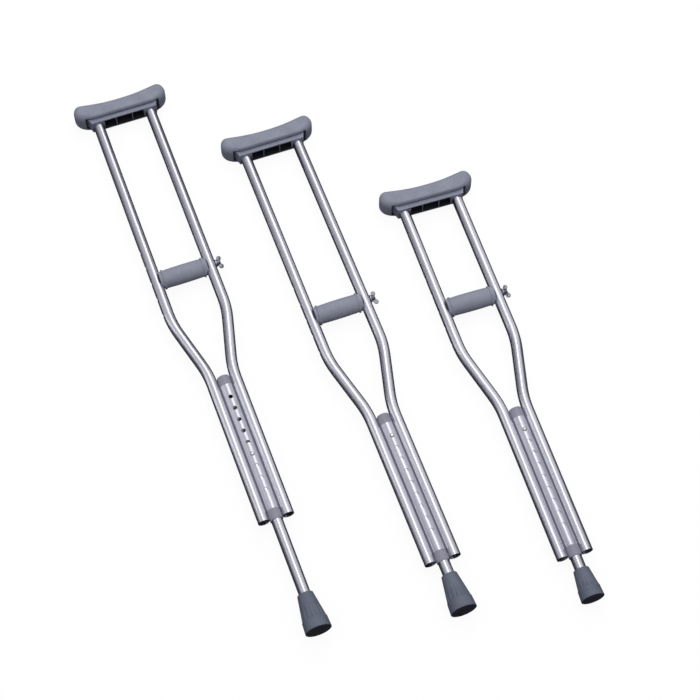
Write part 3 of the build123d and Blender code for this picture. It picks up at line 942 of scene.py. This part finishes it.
# %% [markdown]
# ## The saddle's slot
# The saddle sits in a slot in the pad's underside. A boolean cuts it. Its edges would be too sharp for
# foam, so a remesh at 1.5 mm with a light smoothing rolls them over.

# %% Slot
SLOT_HALF_LENGTH = 78.3 * MM
SLOT_DEPTH = 26.3 * MM
SLOT_HALF_WIDTH = 17.6 * MM
BELOW_PAD = 20 * MM  # how far the cutter runs out of the underside
PAD_VOXEL = 1.5 * MM


def slot_cutter():
    """The saddle's slot as a block that runs out of the pad's underside."""
    cutter = bmesh.new()
    bmesh.ops.create_cube(cutter, size=1.0)
    height = SLOT_DEPTH + BELOW_PAD
    size = Matrix.Diagonal((2 * SLOT_HALF_LENGTH, height, 2 * SLOT_HALF_WIDTH, 1))
    cutter.transform(Matrix.Translation((0, SLOT_DEPTH - height / 2, 0)) @ size)
    mesh = bpy.data.meshes.new("slot_cutter")
    cutter.to_mesh(mesh)
    cutter.free()
    return new_object("slot_cutter", mesh)


cutter = slot_cutter()
pillow = new_object("pillow", pillow_mesh)
apply_modifier(pillow, "slot", "BOOLEAN", object=cutter, operation="DIFFERENCE", solver="EXACT")
apply_modifier(pillow, "even_skin", "REMESH", mode="VOXEL", voxel_size=PAD_VOXEL)
apply_modifier(pillow, "rolled_edges", "SMOOTH", factor=0.5, iterations=6)
apply_modifier(pillow, "finer", "SUBSURF", levels=1, render_levels=1)
pillow.data.shade_smooth()
print("pad faces:", len(pillow.data.polygons))

# %% [markdown]
# ## The pads in place
# All three pads come from one mould, so they share the pillow's shape. The faces inside the slot
# get the much darker foam, a painted shade for the gap round the saddle.

# %% Underarm pads
# The slot's lowest stretch, which rolls in over the edge, keeps the pad's own grey and no painted shade.
SLOT_LIP = 10 * MM  # the slot's lowest stretch keeps its skin, which rolls in over the edge
SLOT_END_MARGIN = 1 * MM  # the smoothing moves the slot's faces a little off the block's
SLOT_SIDE_MARGIN = 0.5 * MM


def in_slot(place):
    """Whether a face's middle lies on the wall or the roof of the slot."""
    return (
        abs(place.x) < SLOT_HALF_LENGTH - SLOT_END_MARGIN
        and abs(place.z) < SLOT_HALF_WIDTH + SLOT_SIDE_MARGIN
        and SLOT_LIP < place.y < SLOT_DEPTH + SLOT_END_MARGIN
    )


shaded_slot_faces = [face.index for face in pillow.data.polygons if in_slot(face.center)]
for name in CRUTCHES:
    low, _ = own_box(f"{name}_saddle", places[name])
    foam = pillow.data.copy()
    foam.materials.clear()
    foam.transform(Matrix.Translation((0, low.y, 0)))
    pad = place_piece(
        f"{name}_foam_pad", foam, name, "frame", "underarm_pad", "pad_foam", pad_foam, shaded_slot_foam
    )
    for index in shaded_slot_faces:
        foam.polygons[index].material_index = 1
for helper in (pillow, cutter):
    bpy.data.objects.remove(helper)
print("pads:", len(CRUTCHES), "with", len(shaded_slot_faces), "cut faces each")

# %% [markdown]
# ## Floor
# The crutches lie on white paper that runs on out of the camera's view. Polished tubes are mirrors of
# what is round them, and white paper right up to their sides would leave them without edges. So the
# paper glows almost white to the camera only. In reflections it is dark grey.

# %% Floor
FLOOR_HALF = 6.0  # metres
PAPER_GLOW = 0.93

floor_mesh = bpy.data.meshes.new("studio_floor")
floor_corners = [
    (x * FLOOR_HALF, y * FLOOR_HALF, 0) for x, y in ((-1, -1), (1, -1), (1, 1), (-1, 1))
]
floor_mesh.from_pydata(floor_corners, [], [(0, 1, 2, 3)])
floor = new_object("studio_floor", floor_mesh)
paper, paper_shader = new_material("white_paper", Roughness=0.9)
rays = add_node(paper, "ShaderNodeLightPath")
paper_tone = add_node(
    paper,
    "ShaderNodeMix",
    {"data_type": "RGBA"},
    {"Factor": rays.outputs["Is Camera Ray"], "A": linear("#3A3A40"), "B": linear("#5A5A5A")},
)
link(paper, paper_tone.outputs["Result"], paper_shader, "Base Color")
paper_glow = add_node(
    paper,
    "ShaderNodeMix",
    {"data_type": "RGBA"},
    {"Factor": rays.outputs["Is Camera Ray"], "A": linear("#000000"), "B": linear("#FFFFFF")},
)
link(paper, paper_glow.outputs["Result"], paper_shader, "Emission Color")
paper_shader.inputs["Emission Strength"].default_value = PAPER_GLOW
floor_mesh.materials.append(paper)
floor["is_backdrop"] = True
print("floor:", 2 * FLOOR_HALF, "m square")

# %% [markdown]
# ## Lamps
# Three large soft lamps, each longer than a crutch, so that a tube shows one unbroken band of light.
# The key hangs high behind the pads and draws the bright band along the top of every tube. A narrow
# strip on the left and a wide panel on the right, both much weaker, give the tubes' sides a faint band.


# %% Lamps
def soft_lamp(name, place, aim, size, watts):
    """An area lamp at a place in metres, turned to face aim."""
    lamp = bpy.data.lights.new(name, "AREA")
    lamp.shape = "RECTANGLE"
    lamp.size, lamp.size_y = size
    lamp.energy = watts
    holder = bpy.data.objects.new(name, lamp)
    holder.location = place
    holder.rotation_euler = (Vector(aim) - Vector(place)).to_track_quat("-Z", "Y").to_euler()
    bpy.context.scene.collection.objects.link(holder)


soft_lamp("key_lamp", place=(0.55, 1.2, 2.6), aim=(0.05, 0, 0), size=(1.1, 3.6), watts=17)
soft_lamp("left_strip", place=(-2.6, 1.2, 0.75), aim=(0, 0, 0), size=(0.45, 3.2), watts=5)
soft_lamp("right_fill", place=(2.6, 1.2, 1.3), aim=(0, 0, 0), size=(1.4, 3.2), watts=6)

# %% [markdown]
# ## Room
# Beyond the lamps the room is a plain gradient, bright overhead and dark at the horizon. The tubes'
# edges mirror the horizon, and its dark line is what draws them. The camera sees a near white instead.

# %% Room
HORIZON, WALL, CEILING = "#2A2A30", "#84848E", "#D2D2DC"
WALL_HEIGHT = 0.4  # upward part of the direction looked in, from 0 at the horizon to 1 overhead
CEILING_HEIGHT = 0.95

world = bpy.data.worlds.new("studio_room")
bpy.context.scene.world = world
world.use_nodes = True
background = world.node_tree.nodes["Background"]
direction = add_node(world, "ShaderNodeTexCoord")
parts = add_node(
    world, "ShaderNodeSeparateXYZ", inputs={"Vector": direction.outputs["Generated"]}
)
sky = add_node(world, "ShaderNodeValToRGB", inputs={"Fac": parts.outputs["Z"]})
ramp = sky.color_ramp.elements
ramp[0].position, ramp[0].color = 0.0, linear(HORIZON)
ramp[1].position, ramp[1].color = CEILING_HEIGHT, linear(CEILING)
ramp.new(WALL_HEIGHT).color = linear(WALL)
sight = add_node(world, "ShaderNodeLightPath")
seen = add_node(
    world,
    "ShaderNodeMix",
    {"data_type": "RGBA"},
    {
        "Factor": sight.outputs["Is Camera Ray"],
        "A": sky.outputs["Color"],
        "B": linear("#F4F4F6"),
    },
)
link(world, seen.outputs["Result"], background, "Color")
background.inputs["Strength"].default_value = 1.0
bpy.context.scene.view_settings.view_transform = "Standard"
print("room:", HORIZON, "at the horizon,", CEILING, "overhead")

# %% [markdown]
# ## Sizes
# The box round the CAD and the box round the finished pieces should be the same to within a
# millimetre. Both are printed at the end.

# %% Finish
corners = {"cad": [list(corner) for corner in cad_box], "visual": [list(corner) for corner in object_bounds()]}
print("sizes:", corners)
